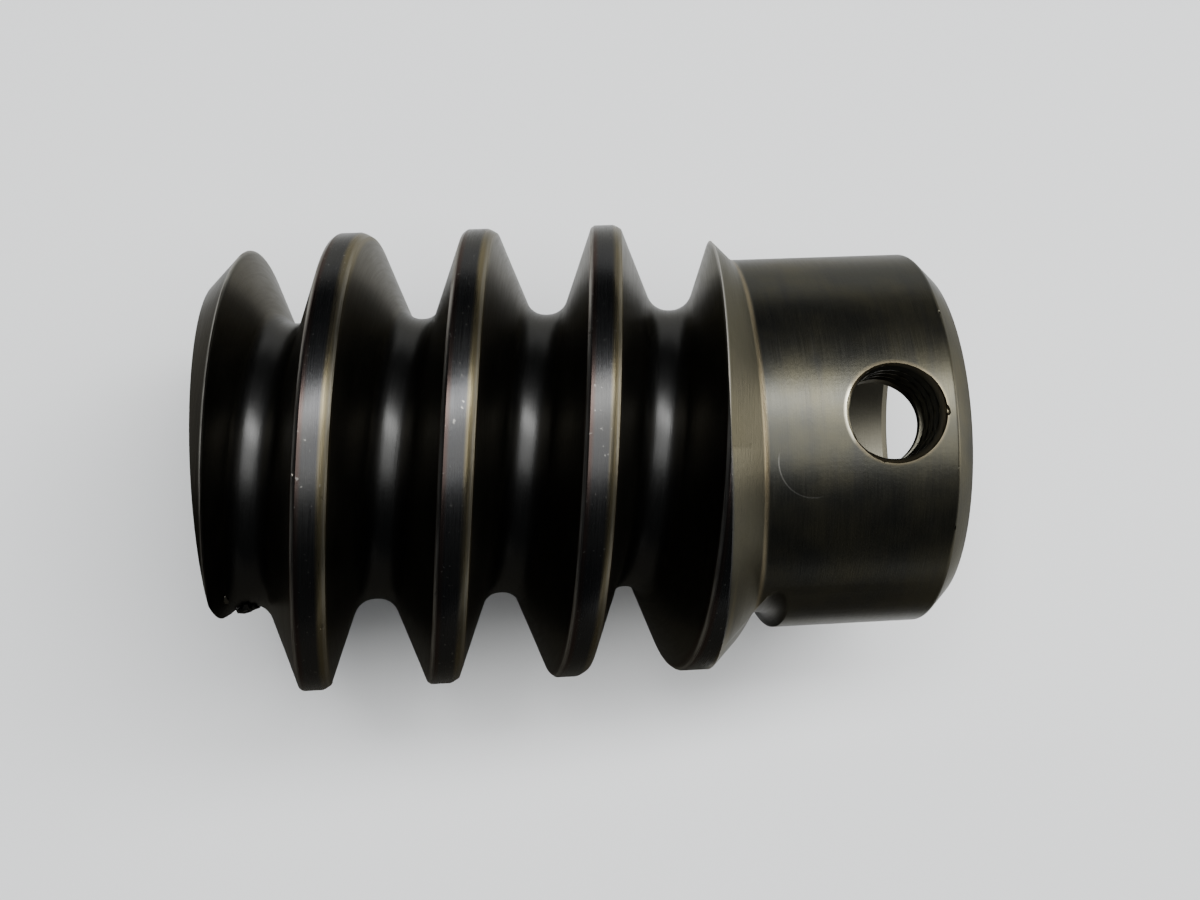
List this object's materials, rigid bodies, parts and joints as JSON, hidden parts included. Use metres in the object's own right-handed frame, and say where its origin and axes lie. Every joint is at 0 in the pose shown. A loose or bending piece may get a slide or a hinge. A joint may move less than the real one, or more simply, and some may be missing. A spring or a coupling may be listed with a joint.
{
  "type": "worm",
  "caption": "Left-hand single-start cylindrical worm with a plain hub, a through bore and a tapped cross hole with its grub screw.",
  "frame": {"origin": "on the bore axis, at the middle of the threaded stretch", "axes": "+X along the bore axis towards the plain hub; +Z along the cross hole, out of its empty mouth"},
  "size_m": [0.0355, 0.023, 0.023],
  "materials": {
    "worm_steel": "hardened and blackened steel, lightly oiled, worn bright along the thread crests",
    "screw_steel": "black oxide alloy steel"
  },
  "bodies": {
    "worm": {"worm": "worm_steel"},
    "grub_screw": {"grub_screw": "screw_steel"}
  },
  "joints": [
    {"name": "grub_screw_travel", "type": "slide", "parent": "worm", "child": "grub_screw", "axis": [0, 0, 1], "range_m": [-0.0016, 0.0006]}
  ]
}
